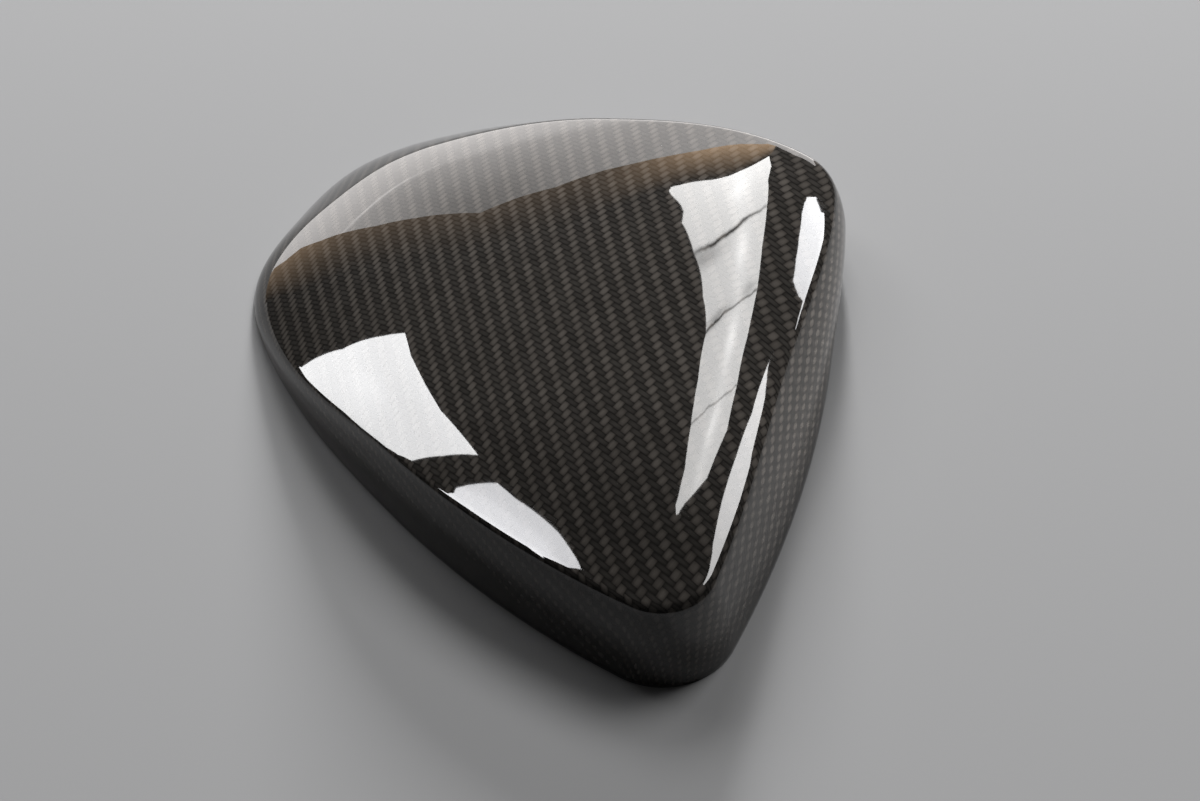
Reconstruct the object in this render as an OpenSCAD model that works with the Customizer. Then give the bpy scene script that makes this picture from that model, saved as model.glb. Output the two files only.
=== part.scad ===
// Wing mirror cover: a thin one-piece domed shell with a rounded-triangle plan.
// Units are millimetres. The open rim stands on z = 0, the crown faces up.
// Plan directions: near is -Y, far is +Y, right is +X, left is -X.

/* [Rim outline] */
// Near corner of the rim, centre across
near_x = 19.1; // [16:0.1:22]
// Near corner of the rim, centre along
near_y = -89.3; // [-93:0.1:-85]
// Near corner radius of the rim
near_r = 25; // [22:0.5:30]
// Right corner of the rim, centre across
right_x = 48.9; // [45:0.1:53]
// Right corner of the rim, centre along
right_y = 65.6; // [62:0.1:69]
// Right corner radius of the rim
right_r = 35.6; // [31:0.1:40]
// Left corner of the rim, centre across
left_x = -48.1; // [-52:0.1:-44]
// Left corner of the rim, centre along
left_y = 59.1; // [55:0.1:63]
// Left corner radius of the rim
left_r = 74.3; // [70:0.1:78]
// Radius of the right side of the rim
right_side_r = 420; // [380:1:700]
// Radius of the far side of the rim
far_side_r = 138.2; // [120:0.1:220]
// Radius of the left side of the rim
left_side_r = 305; // [240:1:600]

// Rim pushed out or in at the outer corner
flare_outer = -6.5; // [-9:0.1:2]
// Rim pushed out or in along the outer side
flare_outer_side = -8; // [-10:0.1:2]
// Rim pushed out or in at the left corner
flare_left = -0.5; // [-3:0.1:3]

/* [Ridge height] */
// Ridge height at the near corner
high_near = 34; // [28:0.5:42]
// Ridge height along the right side
high_right_side = 33; // [28:0.1:38]
// Ridge height at the right corner
high_right = 33.8; // [28:0.1:38]
// Ridge height along the far side
high_far = 28.9; // [25:0.1:34]
// Ridge height at the outer corner
high_outer = 21.5; // [17:0.1:26]
// Ridge height along the outer side
high_outer_side = 17.5; // [13:0.1:21]
// Ridge height at the left corner
high_left = 9.6; // [7:0.1:13]
// Ridge height along the left side
high_left_side = 31.8; // [26:0.1:36]

/* [Ridge inset from the rim] */
// Ridge inset at the near corner
inset_near = 5.9; // [2.5:0.1:8]
// Ridge inset along the right side
inset_right_side = 13.1; // [8:0.1:15]
// Ridge inset at the right corner
inset_right = 3.8; // [2:0.1:6]
// Ridge inset along the far side
inset_far = 24.2; // [18:0.1:28]
// Ridge inset at the outer corner
inset_outer = 24.4; // [18:0.1:28]
// Ridge inset along the outer side
inset_outer_side = 17.1; // [12:0.1:20]
// Ridge inset at the left corner
inset_left = 6.4; // [4:0.1:9]
// Ridge inset along the left side
inset_left_side = 1.6; // [1.2:0.1:5]

/* [Wall] */
// Outward bulge of the wall halfway up
wall_bulge = 2.6; // [0:0.1:3.5]
// Outward bulge along the right side
bulge_right_side = 2.7; // [1:0.1:5]
// Outward bulge at the right corner
bulge_right = 7; // [3:0.1:8]
// Rounding set-back of the ridge on the left side
round_left = 1.2; // [0.8:0.1:3]
// Rounding set-back of the ridge at the near corner
round_near = 2.5; // [1.5:0.1:6]
// Rounding set-back of the ridge on the right side
round_right = 2; // [1:0.1:5]
// Rounding set-back of the ridge on the far side
round_far = 2; // [1:0.1:6]
// Rounding set-back of the ridge at the outer corner
round_outer = 2; // [1:0.1:5]
// Least rounding set-back of the ridge on the inside
round_inside = 3; // [2.5:0.1:5]
// Thickness of the laminate
wall_t = 1.3; // [1:0.1:1.8]

/* [Crown] */
// Height of the crown above the rim plane
crown_h = 43.2; // [39:0.1:50]
// Crown top, across
crown_x = -18; // [-24:1:-12]
// Crown top, along
crown_y = 14; // [8:1:20]
// Fall of the crown across, per square of 100 mm
fall_across = 18.4; // [14:0.1:24]
// Fall of the crown along, per square of 100 mm
fall_along = 12.9; // [9:0.1:18]
// Twist of the crown
twist = -2.5; // [-6:0.1:2]
// Extra fall of the left end over the right
lean_across = -16.2; // [-22:0.1:-8]
// Extra fall of the far end over the near one
lean_along = 5.5; // [2:0.1:10]
// How the fall across grows towards the far end
grow_across = -2.1; // [-6:0.1:3]
// How the fall along grows towards the right
grow_along = -7.1; // [-12:0.1:-3]
// Extra slope of the facet beyond the right shoulder
shoulder_slope = 0.32; // [0:0.01:0.5]
// Softness of the right shoulder
shoulder_soft = 5; // [2:0.5:9]
// Near end of the shoulder line, across
shoulder_near_x = 31.8; // [28:0.1:36]
// Near end of the shoulder line, along
shoulder_near_y = -77.5; // [-84:0.5:-70]
// Far end of the shoulder line, across
shoulder_far_x = 58.2; // [54:0.1:62]
// Far end of the shoulder line, along
shoulder_far_y = 68.3; // [60:0.1:76]

/* [Hidden] */
PER_ARC = 13;
CROWN_RINGS = 13;
ROUND_RINGS = 5;
WALL_RINGS = 5;
ARCS = 8;
M = PER_ARC * ARCS;

corner = [[near_x, near_y, near_r], [right_x, right_y, right_r], [left_x, left_y, left_r]];
side_r = [right_side_r, far_side_r, left_side_r];

// Big arc that touches corner circles i and i + 1: centre, radius, start and end angle.
function side(i) =
    let (p = corner[i], q = corner[(i + 1) % 3], R = side_r[i],
         dx = q[0] - p[0], dy = q[1] - p[1], d = sqrt(dx * dx + dy * dy),
         a = R - p[2], b = R - q[2],
         t = (a * a - b * b + d * d) / (2 * d),
         h = sqrt(a * a - t * t),
         ox = p[0] + dx / d * t - dy / d * h,
         oy = p[1] + dy / d * t + dx / d * h)
    [ox, oy, R, atan2(p[1] - oy, p[0] - ox), atan2(q[1] - oy, q[0] - ox)];
sides = [for (i = [0:2]) side(i)];

function ahead(a, b) = b < a ? b + 360 : b;
function corner_arc(i) =
    let (g0 = sides[(i + 2) % 3][4], g1 = ahead(g0, sides[i][3]))
    [corner[i][0], corner[i][1], corner[i][2], g0, g1];
function side_arc(i) = let (s = sides[i]) [s[0], s[1], s[2], s[3], ahead(s[3], s[4])];
function third(a, k) =
    [a[0], a[1], a[2], a[3] + (a[4] - a[3]) * k / 3, a[3] + (a[4] - a[3]) * (k + 1) / 3];
// Stations round the rim: near corner, right side, right corner, far side, the left corner
// in three parts (outer corner, outer side, left corner) and left side.
arcs = [corner_arc(0), side_arc(0), corner_arc(1), side_arc(1),
        third(corner_arc(2), 0), third(corner_arc(2), 1), third(corner_arc(2), 2), side_arc(2)];

function norm_at(j) =
    let (k = floor(j / PER_ARC), u = (j % PER_ARC) / PER_ARC, a = arcs[k],
         g = a[3] + (a[4] - a[3]) * u)
    [cos(g), sin(g)];
function rim_at(j) =
    let (k = floor(j / PER_ARC), a = arcs[k])
    [a[0], a[1]] + (a[2] + run(flares, j)) * norm_at(j);

// Length of each arc, the run of the rim before it, and its middle.
lens = [for (a = arcs) a[2] * (a[4] - a[3]) * PI / 180];
function sum_to(v, k) = k < 0 ? 0 : v[k] + sum_to(v, k - 1);
starts = [for (k = [0:ARCS - 1]) sum_to(lens, k - 1)];
loop_len = sum_to(lens, ARCS - 1);
function mid_at(i) =
    let (k = (i + 2 * ARCS) % ARCS) starts[k] + lens[k] / 2 + loop_len * floor(i / ARCS);
function slope_at(v, i) =
    let (h0 = mid_at(i) - mid_at(i - 1), h1 = mid_at(i + 1) - mid_at(i),
         v0 = v[(i + 2 * ARCS - 1) % ARCS], v1 = v[(i + 2 * ARCS) % ARCS],
         v2 = v[(i + 2 * ARCS + 1) % ARCS])
    ((v1 - v0) / h0 * h1 + (v2 - v1) / h1 * h0) / (h0 + h1);
// Smooth closed run through one value per arc, each value sitting at mid-arc.
function run(v, j) =
    let (k = floor(j / PER_ARC), u = (j % PER_ARC) / PER_ARC,
         at = starts[k] + lens[k] * u,
         i = u < 0.5 ? k - 1 : k,
         h = mid_at(i + 1) - mid_at(i), t = (at - mid_at(i)) / h,
         va = v[(i + ARCS) % ARCS], vb = v[(i + 1) % ARCS])
    (2 * pow(t, 3) - 3 * t * t + 1) * va + (pow(t, 3) - 2 * t * t + t) * h * slope_at(v, i)
    + (3 * t * t - 2 * pow(t, 3)) * vb + (pow(t, 3) - t * t) * h * slope_at(v, i + 1);

flares = [0, 0, 0, 0, flare_outer, flare_outer_side, flare_left, 0];
heights = [high_near, high_right_side, high_right, high_far,
           high_outer, high_outer_side, high_left, high_left_side];
insets = [inset_near, inset_right_side, inset_right, inset_far,
          inset_outer, inset_outer_side, inset_left, inset_left_side];
bulges = [wall_bulge, bulge_right_side, bulge_right, wall_bulge,
          wall_bulge, wall_bulge, wall_bulge, wall_bulge];
rounds = [round_near, round_right, round_right, round_far,
          round_outer, round_left, round_left, round_left];

function soft(d, w) = w * ln(1 + exp(d / w));
// Height of the smooth crown over a plan point, before it is trued to the ridge.
shoulder_a = [shoulder_near_x, shoulder_near_y];
shoulder_v = [shoulder_far_x, shoulder_far_y] - shoulder_a;
shoulder_n = [shoulder_v[1], -shoulder_v[0]] / norm(shoulder_v);
function crown_z(q) =
    let (x = (q[0] - crown_x) / 100, y = (q[1] - crown_y) / 100,
         d = (q - shoulder_a) * shoulder_n)
    crown_h - fall_across * x * x - fall_along * y * y - twist * x * y
    - lean_across * pow(x, 3) - lean_along * pow(y, 3)
    - grow_across * x * x * y - grow_along * x * y * y
    - shoulder_slope * soft(d, shoulder_soft);
crown_c = [crown_x, crown_y];
// Point of the crown at fraction s of the way from its top to ridge point g.
function crown_pt(g, s) =
    let (q = [g[0], g[1]], c = crown_c + (q - crown_c) * s)
    [c[0], c[1], crown_z(c) + (g[2] - crown_z(q)) * pow(s, 4)];
function wall_pt(g, c, r, t) = g * (1 - t) * (1 - t) + c * 2 * t * (1 - t) + r * t * t;

// One line of points from the crown top over the ridge down to the rim. The ridge is rounded
// with a set-back of least or more.
function meridian(j, least) =
    let (n = norm_at(j), p = rim_at(j), h = run(heights, j), q = p - n * run(insets, j),
         g = [q[0], q[1], h], r = [p[0], p[1], 0],
         m = (p + q) / 2 + n * run(bulges, j), c = [m[0], m[1], h / 2],
         span = norm(q - crown_c), tall = norm(g - c) + norm(c - r),
         d = min(max(run(rounds, j), least), 0.4 * tall),
         s1 = 1 - d / span, t1 = d / tall,
         e0 = crown_pt(g, s1), e1 = wall_pt(g, c, r, t1))
    concat([for (i = [1:CROWN_RINGS]) crown_pt(g, s1 * pow(i / CROWN_RINGS, 0.8))],
           [for (i = [1:ROUND_RINGS]) let (t = i / ROUND_RINGS) wall_pt(e0, g, e1, t)],
           [for (i = [1:WALL_RINGS]) wall_pt(g, c, r, t1 + (1 - t1) * i / WALL_RINGS)]);

ROWS = CROWN_RINGS + ROUND_RINGS + WALL_RINGS;
raw = [for (j = [0:M - 1]) meridian(j, 0)];
xs = [for (l = raw) for (p = l) p[0]];
ys = [for (l = raw) for (p = l) p[1]];
shift = [-(min(xs) + max(xs)) / 2, -(min(ys) + max(ys)) / 2, 0];
grid = [for (l = raw) [for (p = l) p + shift]];
// The inside is set back from a softer ridge, so its corner never folds.
softer = [for (j = [0:M - 1]) [for (p = meridian(j, round_inside)) p + shift]];
top = [crown_x, crown_y, crown_z(crown_c)] + shift;

function unit(v) = v / norm(v);
function g_at(j, i) = i < 0 ? top : softer[(j + M) % M][i];
// Outward direction of the softer skin at a grid point.
function out_at(j, i) =
    let (a = g_at(j + 1, i) - g_at(j - 1, i),
         b = g_at(j, min(i + 1, ROWS - 1)) - g_at(j, i - 1),
         n = unit(cross(b, a)))
    i == ROWS - 1 ? unit([n[0], n[1], 0]) : n;

outer_pts = concat([top], [for (j = [0:M - 1]) for (i = [0:ROWS - 1]) grid[j][i]]);
inner_pts = concat([top - [0, 0, wall_t]],
                   [for (j = [0:M - 1]) for (i = [0:ROWS - 1]) softer[j][i] - wall_t * out_at(j, i)]);

function at(j, i) = 1 + (j % M) * ROWS + i;
BASE = 1 + M * ROWS;
outer_faces = concat(
    [for (j = [0:M - 1]) [0, at(j + 1, 0), at(j, 0)]],
    [for (j = [0:M - 1]) for (i = [0:ROWS - 2]) [at(j, i), at(j + 1, i), at(j + 1, i + 1)]],
    [for (j = [0:M - 1]) for (i = [0:ROWS - 2]) [at(j, i), at(j + 1, i + 1), at(j, i + 1)]]);
inner_faces = [for (f = outer_faces) [BASE + f[0], BASE + f[2], BASE + f[1]]];
rim_faces = concat(
    [for (j = [0:M - 1]) [at(j, ROWS - 1), at(j + 1, ROWS - 1), BASE + at(j + 1, ROWS - 1)]],
    [for (j = [0:M - 1]) [at(j, ROWS - 1), BASE + at(j + 1, ROWS - 1), BASE + at(j, ROWS - 1)]]);

module cover_shell() {
    color([0.06, 0.06, 0.065])
        polyhedron(points = concat(outer_pts, inner_pts),
                   faces = concat(outer_faces, inner_faces, rim_faces), convexity = 4);
}

cover_shell();
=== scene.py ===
"""Looks for the wing mirror cover: glossy carbon fibre twill shell on a pale grey floor.

Lengths in the shape functions are in millimetres, as in the CAD source; the meshes are in metres.
Plan directions: near is -Y, far is +Y, right is +X, left is -X.
Places in the photograph are in pixels across and down from its top left corner.
"""
import math

import bpy
import numpy as np
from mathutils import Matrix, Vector
from mathutils.bvhtree import BVHTree
from mathutils.interpolate import poly_3d_calc


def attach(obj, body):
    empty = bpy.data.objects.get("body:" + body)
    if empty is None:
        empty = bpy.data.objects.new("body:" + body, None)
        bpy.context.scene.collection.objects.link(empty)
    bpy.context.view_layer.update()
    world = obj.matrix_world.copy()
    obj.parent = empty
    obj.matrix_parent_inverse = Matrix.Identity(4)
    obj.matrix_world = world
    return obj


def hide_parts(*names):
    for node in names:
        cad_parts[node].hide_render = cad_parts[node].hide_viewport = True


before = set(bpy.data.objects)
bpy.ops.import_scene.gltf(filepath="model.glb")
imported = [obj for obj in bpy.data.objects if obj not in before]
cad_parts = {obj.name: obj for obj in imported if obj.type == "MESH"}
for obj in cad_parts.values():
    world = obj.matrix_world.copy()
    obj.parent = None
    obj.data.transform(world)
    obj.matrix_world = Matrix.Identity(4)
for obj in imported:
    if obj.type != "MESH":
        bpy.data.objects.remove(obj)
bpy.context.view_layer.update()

# Camera, as fitted to the photograph

PHOTO_W = 1200
PHOTO_H = 801
LENS_ANGLE = math.radians(30)
ELEVATION = math.radians(50)
EYE = 756 * np.array([0, -math.cos(ELEVATION), math.sin(ELEVATION)])

# Shape of the shell, as in the CAD source

CORNERS = [(19.1, -89.3, 25.0), (48.9, 65.6, 35.6), (-48.1, 59.1, 74.3)]
SIDES = [420.0, 138.2, 305.0]
FLARES = [0, 0, 0, 0, -6.5, -8.0, -0.5, 0]
HEIGHTS = [34.0, 33.0, 33.8, 28.9, 21.5, 17.5, 9.6, 31.8]
INSETS = [5.9, 13.1, 3.8, 24.2, 24.4, 17.1, 6.4, 1.6]
BULGES = [2.6, 2.7, 7.0, 2.6, 2.6, 2.6, 2.6, 2.6]
ROUNDS = [2.5, 2.0, 2.0, 2.0, 2.0, 1.2, 1.2, 1.2]
ROUND_INSIDE = 3.0
WALL = 1.3
CROWN_TOP = np.array([-18.0, 14.0])
CROWN_H = 43.2
CROWN_BENDS = [-18.4, 2.5, -12.9, 16.2, 2.1, 7.1, -5.5]
SHOULDER_A = np.array([31.8, -77.5])
SHOULDER_B = np.array([58.2, 68.3])
SHOULDER_DROP = 0.32
SHOULDER_W = 5.0

# Facets: steps per arc of the rim, then rings of the crown, of the rounded ridge and of the wall
STEPS = 48
CROWN_RINGS = 62
ROUND_RINGS = 8
WALL_RINGS = 22

# Cloth: places with the width of one yarn of both ways, in pixels. A program measured these
# widths by fitting the repeat of the weave in the photograph; they weren't counted by eye.
YARN_WIDTHS = [((480, 180), (4.5, 1.1), (-3.5, 3.1)),
               ((440, 240), (4.4, 1.3), (-3.4, 3.4)),
               ((640, 240), (5.4, 2.7), (-3.7, 3.2)),
               ((440, 340), (4.7, 2.1), (-3.2, 3.9)),
               ((560, 330), (5.3, 3.1), (-3.5, 3.8)),
               ((680, 340), (6.0, 3.9), (-3.8, 3.5)),
               ((480, 380), (4.9, 2.9), (-3.1, 4.0)),
               ((560, 440), (5.5, 3.7), (-3.2, 4.2)),
               ((640, 540), (6.9, 5.0), (-3.4, 4.3)),
               ((680, 580), (7.4, 6.7), (-3.6, 4.3))]
CLOTH_STIFFNESS = [0, 0, 0.15, 0.15, 0.15, 0.4, 0.4, 0.4, 0.4]
WALL_CLOTH = 1.35


def ahead(a, b):
    return b + 2 * math.pi if b < a else b


def rim_arcs():
    """Centre, radius, start and end angle of the eight arcs of the rim."""
    joins = []
    for i in range(3):
        (x0, y0, r0), (x1, y1, r1) = CORNERS[i], CORNERS[(i + 1) % 3]
        radius = SIDES[i]
        dx, dy = x1 - x0, y1 - y0
        d = math.hypot(dx, dy)
        a, b = radius - r0, radius - r1
        t = (a * a - b * b + d * d) / (2 * d)
        h = math.sqrt(a * a - t * t)
        ox = x0 + dx / d * t - dy / d * h
        oy = y0 + dy / d * t + dx / d * h
        joins.append((ox, oy, radius, math.atan2(y0 - oy, x0 - ox), math.atan2(y1 - oy, x1 - ox)))

    def corner(i):
        start = joins[i - 1][4]
        return (*CORNERS[i], start, ahead(start, joins[i][3]))

    def side(i):
        x, y, radius, start, end = joins[i]
        return (x, y, radius, start, ahead(start, end))

    def third(arc, k):
        x, y, radius, start, end = arc
        step = (end - start) / 3
        return (x, y, radius, start + step * k, start + step * (k + 1))

    left = corner(2)
    return [corner(0), side(0), corner(1), side(1), *[third(left, k) for k in range(3)], side(2)]


def closed_run(values, at, mids, total):
    """Smooth closed run through one value per arc, each value sitting at mid-arc."""
    v = np.tile(np.asarray(values, float), 3)
    k = np.concatenate([mids - total, mids, mids + total])
    i = np.searchsorted(k, at, side="right") - 1

    def slope(j):
        h0, h1 = k[j] - k[j - 1], k[j + 1] - k[j]
        return ((v[j] - v[j - 1]) / h0 * h1 + (v[j + 1] - v[j]) / h1 * h0) / (h0 + h1)

    h = k[i + 1] - k[i]
    t = (at - k[i]) / h
    return ((2 * t**3 - 3 * t**2 + 1) * v[i] + (t**3 - 2 * t**2 + t) * h * slope(i)
            + (3 * t**2 - 2 * t**3) * v[i + 1] + (t**3 - t**2) * h * slope(i + 1))


def bends(x, y):
    """The curved terms of a cubic surface over the plan."""
    return np.stack([x**2, x * y, y**2, x**3, x**2 * y, x * y**2, y**3], -1)


def crown_z(q):
    """Height of the smooth crown over plan points, with a soft shoulder along the right."""
    x = (q[..., 0] - CROWN_TOP[0]) / 100
    y = (q[..., 1] - CROWN_TOP[1]) / 100
    along = (SHOULDER_B - SHOULDER_A) / np.linalg.norm(SHOULDER_B - SHOULDER_A)
    d = (q[..., 0] - SHOULDER_A[0]) * along[1] - (q[..., 1] - SHOULDER_A[1]) * along[0]
    drop = SHOULDER_DROP * SHOULDER_W * np.logaddexp(0, d / SHOULDER_W)
    return CROWN_H + bends(x, y) @ CROWN_BENDS - drop


def shell_grid(least_round):
    """Rows of points from the crown top to the rim, and where each lies on the cloth laid flat."""
    arcs = rim_arcs()
    lens = np.array([radius * (end - start) for _, _, radius, start, end in arcs])
    starts = np.concatenate([[0], np.cumsum(lens)])
    mids = starts[:-1] + lens / 2
    rim, out, at = [], [], []
    for k, (x, y, radius, start, end) in enumerate(arcs):
        u = np.arange(STEPS) / STEPS
        a = start + (end - start) * u
        n = np.stack([np.cos(a), np.sin(a)], -1)
        rim.append(np.array([x, y]) + radius * n)
        out.append(n)
        at.append(starts[k] + lens[k] * u)
    rim, out, at = np.concatenate(rim), np.concatenate(out), np.concatenate(at)

    def run(values):
        return closed_run(values, at, mids, starts[-1])

    rim = rim + out * run(FLARES)[:, None]
    high, inset, bulge, rounding = run(HEIGHTS), run(INSETS), run(BULGES), run(ROUNDS)
    q = rim - out * inset[:, None]
    ridge = np.column_stack([q, high])
    foot = np.column_stack([rim, 0 * high])
    belly = np.column_stack([(rim + q) / 2 + out * bulge[:, None], high / 2])
    trued = high - crown_z(q)

    def crown(s):
        s = np.broadcast_to(s, high.shape)[:, None]
        c = CROWN_TOP + (q - CROWN_TOP) * s
        return np.column_stack([c, crown_z(c) + trued * s[:, 0]**4])

    def curve(a, b, c, t):
        t = np.broadcast_to(t, high.shape)[:, None]
        return a * (1 - t)**2 + b * 2 * t * (1 - t) + c * t**2

    span = np.linalg.norm(q - CROWN_TOP, axis=1)
    tall = np.linalg.norm(ridge - belly, axis=1) + np.linalg.norm(belly - foot, axis=1)
    d = np.minimum(np.maximum(rounding, least_round), 0.4 * tall)
    s1, t1 = 1 - d / span, d / tall
    above, below = crown(s1), curve(ridge, belly, foot, t1)
    rows = [crown(s1 * i / CROWN_RINGS) for i in range(1, CROWN_RINGS + 1)]
    rows += [curve(above, ridge, below, i / ROUND_RINGS) for i in range(1, ROUND_RINGS + 1)]
    rows += [curve(ridge, belly, foot, t1 + (1 - t1) * i / WALL_RINGS)
             for i in range(1, WALL_RINGS + 1)]
    points = np.stack(rows, 1)
    # Laid flat, the crown keeps its plan place and the wall goes on outwards from the ridge.
    flat = points[..., :2].copy()
    run_on = np.zeros(len(q))
    for i in range(CROWN_RINGS, points.shape[1]):
        run_on = run_on + np.linalg.norm(points[:, i] - points[:, i - 1], axis=1)
        flat[:, i] = flat[:, CROWN_RINGS - 1] + out * run_on[:, None]
    return points, flat


points, flat = shell_grid(0.0)
softer = shell_grid(ROUND_INSIDE)[0]
crown_top = np.array([*CROWN_TOP, float(crown_z(CROWN_TOP))])
low, high = points.min((0, 1)), points.max((0, 1))
SHIFT = np.array([-(low[0] + high[0]) / 2, -(low[1] + high[1]) / 2, 0.0])


# Cloth on the shell


def photo_ray(place):
    """Direction from the camera through a place in the photograph."""
    across = place[0] - PHOTO_W / 2
    up = PHOTO_H / 2 - place[1]
    deep = PHOTO_W / 2 / math.tan(LENS_ANGLE / 2)
    s, c = math.sin(ELEVATION), math.cos(ELEVATION)
    ray = np.array([across, deep * c + up * s, up * c - deep * s])
    return ray / np.linalg.norm(ray)


def seen_on_crown(place):
    """Plan point of the crown that shows at a place in the photograph."""
    ray = photo_ray(place)
    z = CROWN_H
    for turn in range(30):
        plan = (EYE + ray * (z - EYE[2]) / ray[2])[:2]
        z = (z + float(crown_z(plan))) / 2
    return plan


def fit_yarns():
    """Cubic surfaces over the plan that count the yarns of each way, fitted to the measured widths."""
    slopes, rates = [], []
    for place, *widths in YARN_WIDTHS:
        place, widths = np.array(place), np.array(widths)
        x, y = seen_on_crown(place) / 100
        yarns = [seen_on_crown(place + w / 2) - seen_on_crown(place - w / 2) for w in widths]
        slopes.append([1, 0, 2 * x, y, 0, 3 * x**2, 2 * x * y, y**2, 0])
        slopes.append([0, 1, 0, x, 2 * y, 0, x**2, 2 * x * y, 3 * y**2])
        rates.extend(np.linalg.inv(np.column_stack(yarns) / 100).T)
    slopes.extend(np.diag(CLOTH_STIFFNESS))
    rates.extend(np.zeros((len(CLOTH_STIFFNESS), 2)))
    return np.linalg.lstsq(np.array(slopes), np.array(rates), rcond=None)[0]


YARN_CURVES = fit_yarns()


def yarn_count(plan):
    """Yarns counted along the two ways of the cloth, spreading towards the near corner."""
    x, y = plan[..., 0] / 100, plan[..., 1] / 100
    return np.concatenate([np.stack([x, y], -1), bends(x, y)], -1) @ YARN_CURVES


def yarns_over_skin():
    """Yarn counts over the whole skin; down the wall they go on evenly from the ridge."""
    start = CROWN_RINGS - 1
    ridge = flat[:, start]
    away = flat[:, start + 1:] - ridge[:, None]
    length = np.linalg.norm(away, axis=-1, keepdims=True)
    out = away[:, -1] / length[:, -1]
    rate = yarn_count(ridge + out / 2) - yarn_count(ridge - out / 2)
    yarns = yarn_count(flat)
    yarns[:, start + 1:] = yarns[:, start][:, None] + rate[:, None] * length * WALL_CLOTH
    return yarns


# Mesh of the shell


def link(name, data):
    """New object in the scene."""
    made = bpy.data.objects.new(name, data)
    bpy.context.scene.collection.objects.link(made)
    return made


def skin_normals(points):
    """Outward directions of the skin at its grid points."""
    across = np.roll(points, -1, 0) - np.roll(points, 1, 0)
    before = np.concatenate([np.broadcast_to(crown_top, points[:, :1].shape), points[:, :-1]], 1)
    after = np.concatenate([points[:, 1:], points[:, -1:]], 1)
    n = np.cross(after - before, across)
    n /= np.linalg.norm(n, axis=-1, keepdims=True)
    n[:, -1, 2] = 0
    n[:, -1] /= np.linalg.norm(n[:, -1], axis=-1, keepdims=True)
    return n


def build_shell(materials):
    """Outer skin, inner skin and trimmed edge in one mesh, with the yarn counts as its map."""
    count, rows = points.shape[:2]
    # The inside is set back from a softer ridge, so its corner never folds.
    inside = softer - WALL * skin_normals(softer)
    inside[..., 2] = np.maximum(inside[..., 2], 0.0)
    outer = np.concatenate([crown_top[None], points.reshape(-1, 3)])
    inner = np.concatenate([(crown_top - [0, 0, WALL])[None], inside.reshape(-1, 3)])
    cloth = np.concatenate([yarn_count(CROWN_TOP)[None], yarns_over_skin().reshape(-1, 2)])
    base = len(outer)

    def at(j, i):
        return 1 + (j % count) * rows + i

    def rim(j):
        return at(j, rows - 1)

    skin = [(0, at(j, 0), at(j + 1, 0)) for j in range(count)]
    skin += [(at(j, i), at(j, i + 1), at(j + 1, i + 1), at(j + 1, i))
             for j in range(count) for i in range(rows - 1)]
    back = [tuple(base + k for k in reversed(face)) for face in skin]
    edge = [(rim(j), base + rim(j), base + rim(j + 1), rim(j + 1)) for j in range(count)]

    mesh = bpy.data.meshes.new("cover_skin")
    verts = (np.concatenate([outer, inner]) + SHIFT) / 1000
    mesh.from_pydata(verts.tolist(), [], skin + back + edge)
    layer = mesh.uv_layers.new(name="cloth")
    loops = np.empty(len(mesh.loops), int)
    mesh.loops.foreach_get("vertex_index", loops)
    layer.data.foreach_set("uv", np.concatenate([cloth, cloth])[loops].ravel())
    for m in materials:
        mesh.materials.append(m)
    slots = [0] * len(skin) + [1] * len(back) + [2] * len(edge)
    mesh.polygons.foreach_set("material_index", slots)
    mesh.polygons.foreach_set("use_smooth", [True] * len(mesh.polygons))
    mesh.update()
    return link("cover_skin", mesh)


# Node trees


def feed(tree, socket, value):
    """Links a value or a socket to an input, or sets the input to a plain number or colour."""
    if isinstance(value, Value):
        value = value.socket
    if isinstance(value, bpy.types.NodeSocket):
        tree.links.new(value, socket)
    else:
        socket.default_value = value


class Value:
    """Number inside a node tree; arithmetic with it adds math nodes."""

    def __init__(self, tree, socket):
        self.tree = tree
        self.socket = socket

    def node(self, operation, *inputs):
        made = self.tree.nodes.new("ShaderNodeMath")
        made.operation = operation
        for socket, value in zip(made.inputs, inputs):
            feed(self.tree, socket, value)
        return Value(self.tree, made.outputs[0])

    def __add__(self, other):
        return self.node("ADD", self, other)

    def __radd__(self, other):
        return self.node("ADD", other, self)

    def __sub__(self, other):
        return self.node("SUBTRACT", self, other)

    def __rsub__(self, other):
        return self.node("SUBTRACT", other, self)

    def __mul__(self, other):
        return self.node("MULTIPLY", self, other)

    def __rmul__(self, other):
        return self.node("MULTIPLY", other, self)

    def __truediv__(self, other):
        return self.node("DIVIDE", self, other)

    def __pow__(self, other):
        return self.node("POWER", self, other)

    def floor(self):
        return self.node("FLOOR", self)

    def fract(self):
        return self.node("FRACT", self)

    def modulo(self, other):
        return self.node("FLOORED_MODULO", self, other)

    def less_than(self, other):
        return self.node("LESS_THAN", self, other)

    def arch(self):
        """Half a wave: 0 at 0, 1 at a half and 0 at 1."""
        return self.node("SINE", self * math.pi)

    def at_least(self, lowest):
        return self.node("MAXIMUM", self, lowest)

    def at_most(self, highest):
        return self.node("MINIMUM", self, highest)

    def bell(self, centre, width):
        off = (self - centre) / width
        return self.node("POWER", math.e, off * off * -1.0)


def pick(first, one, two):
    """One where first is 1, and two where it is 0."""
    return first * one + (1.0 - first) * two


def split(tree, vector):
    """First two numbers of a vector."""
    parts = tree.nodes.new("ShaderNodeSeparateXYZ")
    tree.links.new(vector, parts.inputs[0])
    return Value(tree, parts.outputs[0]), Value(tree, parts.outputs[1])


def read_map(tree, name):
    """Vector of a map of the mesh."""
    node = tree.nodes.new("ShaderNodeUVMap")
    node.uv_map = name
    return node.outputs[0]


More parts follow.
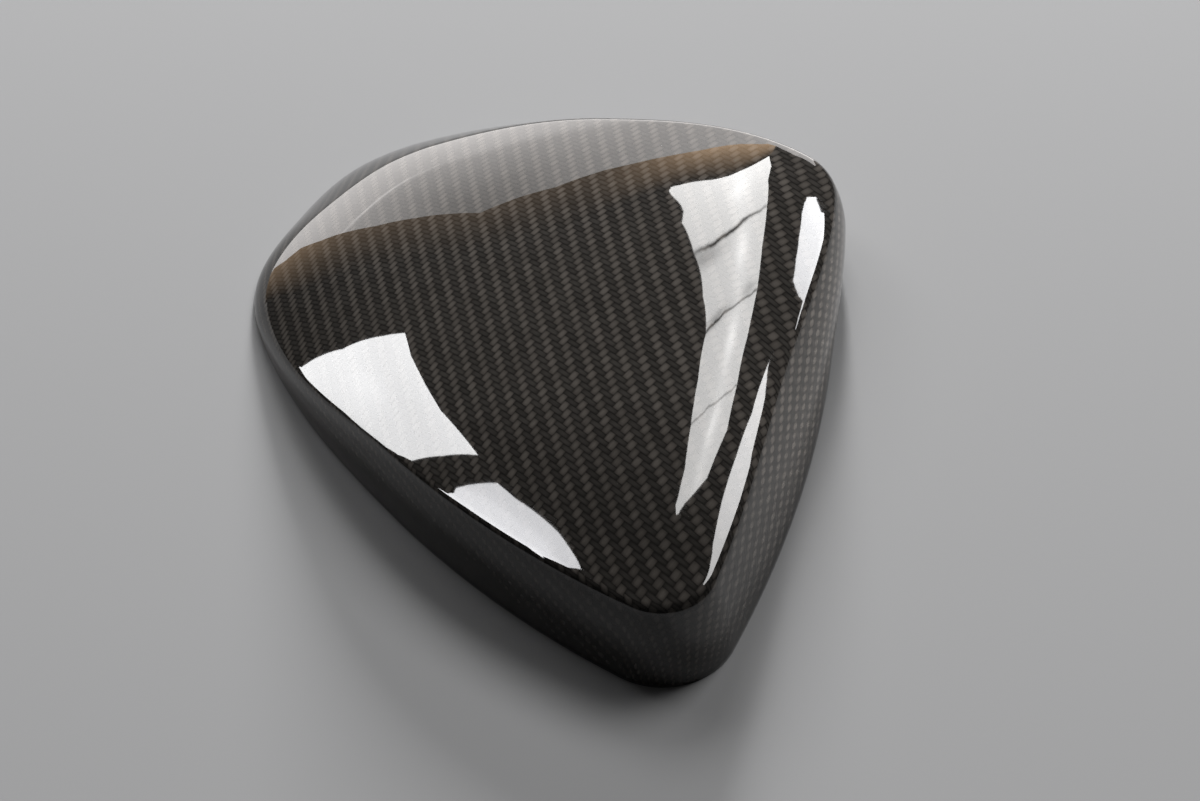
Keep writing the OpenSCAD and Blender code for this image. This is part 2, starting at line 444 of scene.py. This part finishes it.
def mix(tree, factor, a, b):
    """Colour between two colours."""
    node = tree.nodes.new("ShaderNodeMix")
    node.data_type = "RGBA"
    feed(tree, node.inputs[0], factor)
    feed(tree, node.inputs[6], a)
    feed(tree, node.inputs[7], b)
    return node.outputs[2]


def twill_group():
    """Two-by-two twill from yarn counts: which yarn is on top, its rounding and its fibres."""
    tree = bpy.data.node_groups.new("twill", "ShaderNodeTree")
    tree.interface.new_socket("Yarns", in_out="INPUT", socket_type="NodeSocketVector")
    for name in ("First on top", "Height", "Fibres", "Chance", "Gap and shade factor"):
        tree.interface.new_socket(name, in_out="OUTPUT", socket_type="NodeSocketFloat")
    given = tree.nodes.new("NodeGroupInput")
    out = tree.nodes.new("NodeGroupOutput")
    u, v = split(tree, given.outputs["Yarns"])
    # Counting on by one yarn each row gives the twill's diagonal ribs.
    turn = u.floor() - v.floor()
    step = turn.modulo(4.0)
    first = step.less_than(1.5)
    # Place along and across the yarn that is on top, each 0 to 1 over one float.
    back = (step + 2.0).modulo(4.0)
    along = pick(first, step + u.fract(), (1.0 - back) + v.fract()) * 0.5
    across = pick(first, v.fract(), u.fract())
    height = across.arch().at_least(0.0) ** 0.5 * (0.3 + along.arch().at_least(0.0) ** 0.6 * 0.7)
    # One number for each float, so that no two look quite the same.
    one = (turn * 0.25).floor() * 7.31 + v.floor()
    two = ((turn + 2.0) * 0.25).floor() * 5.17 + (u.floor() + 0.5)
    which = pick(first, one, two)
    chance = tree.nodes.new("ShaderNodeTexWhiteNoise")
    chance.noise_dimensions = "1D"
    feed(tree, chance.inputs["W"], which)
    # Fibres are long along the yarn and narrow across it.
    place = tree.nodes.new("ShaderNodeCombineXYZ")
    for socket, value in zip(place.inputs, (across * 9.0, along * 0.8, which)):
        feed(tree, socket, value)
    fibres = tree.nodes.new("ShaderNodeTexNoise")
    fibres.inputs["Scale"].default_value = 1.0
    fibres.inputs["Detail"].default_value = 2.0
    tree.links.new(place.outputs[0], fibres.inputs["Vector"])
    # Towards the near corner the cloth is painted darker: partly wider gaps, partly painted shade.
    stretch_and_painted_shade = ((u + v - 20.0) * 0.0125).at_least(0.0).at_most(0.45)
    for name, value in (("First on top", first), ("Height", height), ("Fibres", fibres.outputs[0]),
                        ("Chance", chance.outputs["Value"]), ("Gap and shade factor", 1.0 - stretch_and_painted_shade)):
        feed(tree, out.inputs[name], value)
    return tree


# Materials of the shell

TWILL = twill_group()


def new_material(name, roughness, specular):
    """Material and its shader."""
    m = bpy.data.materials.new(name)
    m.use_nodes = True
    shader = m.node_tree.nodes["Principled BSDF"]
    shader.inputs["Roughness"].default_value = roughness
    shader.inputs["Specular IOR Level"].default_value = specular
    return m, shader


def weave(m, shader):
    """Colours a material as cloth, and gives back the height of its yarns."""
    tree = m.node_tree
    twill = tree.nodes.new("ShaderNodeGroup")
    twill.node_tree = TWILL
    tree.links.new(read_map(tree, "cloth"), twill.inputs["Yarns"])
    # The last of these darkens the cloth towards the near corner: partly wider gaps, partly painted
    # shade.
    height, chance, closed = [Value(tree, twill.outputs[name])
                              for name in ("Height", "Chance", "Gap and shade factor")]
    fibres = twill.outputs["Fibres"]
    # Painted sheen: the yarns of the first way are painted paler than those of the second.
    pale = mix(tree, fibres, (0.060, 0.053, 0.047, 1), (0.116, 0.104, 0.093, 1))
    dark = mix(tree, fibres, (0.028, 0.026, 0.024, 1), (0.056, 0.051, 0.046, 1))
    yarn = mix(tree, twill.outputs["First on top"], pale, dark)
    # Painted sheen and shade of the rounded yarns: each float is brightest along its middle.
    # Gaps between the yarns are darkest, partly dark of their own, and each float is a little paler or
    # darker.
    shade = (0.16 + height * (0.75 + chance * 0.4) * 0.84).at_most(1.0) * closed
    tree.links.new(mix(tree, shade, (0, 0, 0, 1), yarn), shader.inputs["Base Color"])
    return height


def lacquered_cloth():
    m, shader = new_material("lacquered_twill", 0.5, 0.0)
    weave(m, shader)
    shader.inputs["Coat Weight"].default_value = 1.0
    shader.inputs["Coat Roughness"].default_value = 0.02
    shader.inputs["Coat IOR"].default_value = 1.52
    return m


def bare_cloth():
    m, shader = new_material("bare_cloth_inside", 0.6, 0.0)
    bump = m.node_tree.nodes.new("ShaderNodeBump")
    bump.inputs["Strength"].default_value = 0.5
    bump.inputs["Distance"].default_value = 0.0002
    feed(m.node_tree, bump.inputs["Height"], weave(m, shader))
    m.node_tree.links.new(bump.outputs[0], shader.inputs["Normal"])
    return m


def plain(name, colour, roughness, specular):
    m, shader = new_material(name, roughness, specular)
    shader.inputs["Base Color"].default_value = (*colour, 1)
    return m


cover = build_shell([lacquered_cloth(), bare_cloth(),
                     plain("trimmed_edge", (0.02, 0.02, 0.02), 0.5, 0.2)])
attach(cover, "root")
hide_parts("cover_shell")

# Floor

FLOOR_W = 6.0
FLOOR_Y = 0.6


def add_floor():
    half = FLOOR_W / 2
    corners = [(-half, -half, 0), (half, -half, 0), (half, half, 0), (-half, half, 0)]
    mesh = bpy.data.meshes.new("floor")
    mesh.from_pydata(corners, [], [(0, 1, 2, 3)])
    mesh.materials.append(plain("grey_floor", (0.42, 0.42, 0.425), 0.6, 0.0))
    floor = link("floor", mesh)
    floor.location = (0, FLOOR_Y, 0)


add_floor()

# Cards that show only in the gloss, each on a ball round the cover, given by the places, in
# pixels of the photograph, where the corners of their rows show. Part of the places were read
# off the photograph, and part were found by a search for the pixel that mirrors a direction.

SKIN = BVHTree.FromPolygons([v.co for v in cover.data.vertices],
                            [tuple(p.vertices) for p in cover.data.polygons])


def mirrored(place, room):
    """Point of a ball of radius room that the gloss shows at a place in the photograph."""
    ray = Vector(photo_ray(place))
    hit, _, face, _ = SKIN.ray_cast(Vector((EYE + SHIFT) / 1000), ray)
    corners = [cover.data.vertices[k] for k in cover.data.polygons[face].vertices]
    shares = poly_3d_calc([v.co for v in corners], hit)
    normal = sum((v.normal * share for v, share in zip(corners, shares)), Vector())
    out = ray.reflect(normal.normalized())
    ahead_by = hit.dot(out)
    return hit + out * (math.sqrt(ahead_by**2 - hit.dot(hit) + room**2) - ahead_by)


def aim(azimuth, elevation):
    """Unit direction: azimuth from +Y towards +X, and elevation above the floor."""
    level = math.cos(elevation)
    return Vector((math.sin(azimuth) * level, math.cos(azimuth) * level, math.sin(elevation)))


def finer(line, parts=4):
    """Line with each of its steps cut into equal parts."""
    return [a.lerp(b, i / parts) for a, b in zip(line, line[1:]) for i in range(parts)] + [line[-1]]


def add_card(name, room, rows, material):
    """Patch of a ball of radius room drawn through rows of points, mapped across and along."""
    across = [finer(row) for row in rows]
    grid = list(zip(*[finer(column) for column in zip(*across)]))
    w, h = len(grid[0]), len(grid)
    verts = [v.normalized() * room for row in grid for v in row]
    faces = [(k * w + i, k * w + i + 1, (k + 1) * w + i + 1, (k + 1) * w + i)
             for k in range(h - 1) for i in range(w - 1)]
    mesh = bpy.data.meshes.new(name)
    mesh.from_pydata(verts, [], faces)
    layer = mesh.uv_layers.new(name="card")
    for loop in mesh.loops:
        k, i = divmod(loop.vertex_index, w)
        layer.data[loop.index].uv = (i / (w - 1), k / (h - 1))
    mesh.materials.append(material)
    card = link(name, mesh)
    card.visible_camera = False
    card.visible_diffuse = False
    card.visible_shadow = False


def mirrored_card(name, room, places, material):
    """Card whose reflection fills rows of places in the photograph."""
    rows = [[mirrored(place, room) for place in row] for row in places]
    add_card(name, room, rows, material)


def glow(name, colour):
    """Emission material, its strength socket, and how far across and along its card one is."""
    m = bpy.data.materials.new(name)
    m.use_nodes = True
    tree = m.node_tree
    tree.nodes.clear()
    out = tree.nodes.new("ShaderNodeOutputMaterial")
    light = tree.nodes.new("ShaderNodeEmission")
    light.inputs["Color"].default_value = (*colour, 1)
    tree.links.new(light.outputs[0], out.inputs[0])
    across, along = split(tree, read_map(tree, "card"))
    return m, light.inputs["Strength"], across, along


# Left light box in two leaves; each row runs from its outer side to its inner side

LEFT_ROOM = 0.7
LEFT_FAR = [[(299, 367), (343, 349), (383, 336), (405, 333)],
            [(318, 390), (352, 374), (388, 363), (411, 356)],
            [(345, 413), (372, 397), (402, 388), (425, 384)],
            [(363, 429), (393, 422), (420, 415), (441, 411)],
            [(387, 448), (399, 455), (442, 456), (478, 455)]]
LEFT_NEAR = [[(438, 488), (456, 488), (497, 483)],
             [(467, 508), (492, 504), (516, 499)],
             [(500, 530), (521, 528), (540, 516)],
             [(528, 547), (545, 544), (559, 533)],
             [(545, 559), (565, 566), (579, 563)]]


def left_light():
    """Two bright leaves, each a little brighter along a tube behind it."""
    m, strength, across, along = glow("left_light_box", (0.99, 0.99, 1.0))
    core = across.bell(0.36, 0.15) * along.bell(0.42, 0.16)
    feed(m.node_tree, strength, 12.8 + across * 4.2 + across.bell(0.36, 0.16) + core * 1.2)
    mirrored_card("left_light_far", LEFT_ROOM, LEFT_FAR, m)
    m, strength, across, along = glow("left_light_box_near", (0.97, 0.97, 1.0))
    feed(m.node_tree, strength, 13.6 + across.bell(0.15, 0.35) * 6.5)
    mirrored_card("left_light_near", LEFT_ROOM, LEFT_NEAR, m)


# Right light box: a creased strip, and two narrow pieces beside it

STRIP_ROOM = 0.35
STRIP = [[(669, 191), (683, 169), (712, 151), (769, 155)],
         [(682, 223), (709, 209), (739, 190), (768, 180)],
         [(694, 254), (717, 242), (743, 220), (767, 206)],
         [(703, 297), (722, 280), (742, 262), (762, 248)],
         [(706, 333), (722, 316), (738, 303), (757, 290)],
         [(698, 380), (714, 364), (730, 350), (747, 338)],
         [(691, 425), (706, 410), (721, 398), (737, 385)],
         [(685, 468), (696, 455), (708, 443), (727, 430)],
         [(676, 515), (685, 503), (696, 491), (707, 478)]]
SLIVER = [[(768, 364), (769, 363)], [(762, 380), (767, 378)], [(752, 413), (762, 412)],
          [(736, 457), (752, 453)], [(722, 501), (740, 500)], [(713, 544), (726, 539)],
          [(703, 584), (704, 585)]]
BLADE_ROOM = 0.2
BLADE = [[(807, 197), (816, 197)], [(802, 213), (821, 212)], [(799, 237), (824, 234)],
         [(796, 259), (819, 256)], [(793, 281), (811, 281)], [(799, 297), (806, 296)],
         [(798, 318), (800, 315)], [(795, 330), (796, 329)]]


def strip_light():
    """Long strip with three creases, dark beside them, and bright spots down its middle."""
    m, strength, across, along = glow("right_light_box", (1.0, 0.99, 0.98))
    noise = m.node_tree.nodes.new("ShaderNodeTexNoise")
    noise.noise_dimensions = "1D"
    noise.inputs["Scale"].default_value = 4.0
    feed(m.node_tree, noise.inputs["W"], across)
    wavy = along + (Value(m.node_tree, noise.outputs[0]) - 0.5) * 0.03
    creases = (wavy.bell(0.25, 0.008) * (0.45 + across.arch() * 0.5)
               + wavy.bell(0.5, 0.005) * 0.65 + wavy.bell(0.75, 0.004) * 0.6)
    dull = (along.bell(0.275, 0.03) * across.bell(0.1, 0.28) * 0.45
            + along.bell(0.48, 0.02) * across.bell(0.85, 0.14) * 0.3
            + along.bell(0.49, 0.02) * across.bell(0.2, 0.25) * 0.45)
    level = 11.2 + across - along * 0.8 + across.bell(0.64, 0.16) * 1.6
    for place, power in ((0.12, 2.4), (0.34, 3.5), (0.6, 3.5), (0.82, 3.0)):
        level = level + along.bell(place, 0.05) * across.bell(0.64, 0.1) * power
    feed(m.node_tree, strength, level * (1.0 - (creases + dull)).at_least(0.03))
    mirrored_card("right_light_strip", STRIP_ROOM, STRIP, m)


def narrow_lights():
    """The sliver nearer the camera and the blade further off, both fading along their length."""
    m, strength, across, along = glow("right_light_sliver", (1.0, 0.99, 0.99))
    feed(m.node_tree, strength, (1.0 - along ** 2.0 * 0.45) * 15.0)
    mirrored_card("right_light_near", STRIP_ROOM, SLIVER, m)
    m, strength, across, along = glow("right_light_blade", (0.98, 0.98, 1.0))
    feed(m.node_tree, strength, (1.0 - along ** 3.0 * 0.5) * (16.0 + across * 4.0))
    mirrored_card("right_light_far", BLADE_ROOM, BLADE, m)


# Pale sheet standing behind, with a brown edge above it

SHEET_ROOM = 0.25
SHEET_TOP = [(262, 297), (266, 283), (285, 261), (301, 248), (320, 241), (336, 235), (376, 226),
             (416, 218), (448, 214), (480, 213), (520, 197), (556, 187), (605, 170), (653, 159),
             (702, 150), (740, 144), (776, 146), (802, 158), (815, 166)]
BROWN_END = [(263, 310), (267, 302), (297, 293), (318, 285), (339, 275), (361, 269), (400, 262),
             (432, 256), (461, 255), (489, 247), (520, 240), (544, 233), (570, 225), (619, 205),
             (680, 185), (740, 171), (771, 155)]
SHEET_FOOT = math.radians(-9)
FOLD_HEIGHT = 0.051


def pale_sheet():
    """Sheet that is duller above its fold, with a pale line at the fold and a bright right end."""
    m, strength, across, along = glow("white_sheet", (1.0, 0.965, 0.95))
    tree = m.node_tree
    place = tree.nodes.new("ShaderNodeNewGeometry")
    parts = tree.nodes.new("ShaderNodeSeparateXYZ")
    tree.links.new(place.outputs["Position"], parts.inputs[0])
    above = (Value(tree, parts.outputs[2]) - FOLD_HEIGHT) * 1000.0
    upper = ((above + 4.0) / 11.0).at_least(0.0).at_most(1.0)
    fold = above.bell(0.0, 1.3) * along.bell(0.36, 0.09)
    end = (along - 0.7).at_least(0.0) * 5.0
    murk = across.bell(1.0, 0.3) * along.bell(0.5, 0.13)
    level = 3.3 - along.bell(0.57, 0.13) * 0.1 - upper * 0.6 + end + fold * 1.8
    feed(tree, strength, level * (1.0 - murk * 0.4))
    # Each row of the card runs from below the floor up to a point of the sheet's top.
    top = [mirrored(place, SHEET_ROOM) for place in SHEET_TOP]
    rows = [[aim(math.atan2(point.x, point.y), SHEET_FOOT) * SHEET_ROOM, point] for point in top]
    add_card("far_sheet", SHEET_ROOM, rows, m)


def brown_edge():
    """Brown glow over the sheet's top that fades upwards and is strongest on the right."""
    m, strength, across, along = glow("brown_edge", (1.0, 0.68, 0.42))
    right = ((along - 0.74) * 6.5).at_least(0.0).at_most(1.0) ** 1.5
    left = 0.5 + along.bell(0.15, 0.17) * 0.6
    feed(m.node_tree, strength, (1.0 - across) ** 1.4 * (left + right * 3.2))
    mirrored_card("far_brown_edge", SHEET_ROOM, zip(SHEET_TOP, BROWN_END), m)


left_light()
strip_light()
narrow_lights()
pale_sheet()
brown_edge()

# Lamps that don't show in the gloss, room light and camera

LAMPS_AWAY = 2.2


def add_lamp(name, place, turn, size, power):
    """Soft rectangular lamp."""
    data = bpy.data.lights.new(name, "AREA")
    data.shape = "RECTANGLE"
    data.size, data.size_y = size
    data.energy = power
    lamp = link(name, data)
    lamp.location = place
    lamp.rotation_euler = turn
    lamp.visible_glossy = False
    lamp.visible_camera = False


def aimed_lamp(name, azimuth, elevation, size, power):
    """Lamp aimed at the cover; azimuth runs from +Y towards +X, both angles in degrees."""
    place = aim(math.radians(azimuth), math.radians(elevation)) * LAMPS_AWAY
    add_lamp(name, place, (-place).to_track_quat("-Z", "Y").to_euler(), size, power)


aimed_lamp("soft_far", 3.6, 20, (0.2, 0.8), 57)
aimed_lamp("soft_high", -8, 48, (0.6, 0.6), 11)
aimed_lamp("soft_left", -45, 45, (0.9, 0.9), 7)
aimed_lamp("soft_right", 45, 58, (0.9, 0.9), 17)
# Light that comes up from the floor onto the right wall
add_lamp("soft_bounce", (0.214, -0.02, 0.001), (math.pi, 0, math.radians(-12)), (0.22, 0.26), 0.9)

world = bpy.data.worlds.new("room")
bpy.context.scene.world = world
world.use_nodes = True
world.node_tree.nodes["Background"].inputs["Color"].default_value = (0.02, 0.02, 0.02, 1)
world.node_tree.nodes["Background"].inputs["Strength"].default_value = 1.0

camera_data = bpy.data.cameras.new("camera")
camera_data.sensor_fit = "HORIZONTAL"
camera_data.angle = LENS_ANGLE
camera = link("camera", camera_data)
camera.location = Vector((EYE + SHIFT) / 1000)
camera.rotation_euler = (math.pi / 2 - ELEVATION, 0, 0)
bpy.context.scene.camera = camera
bpy.context.scene.view_settings.view_transform = "Standard"
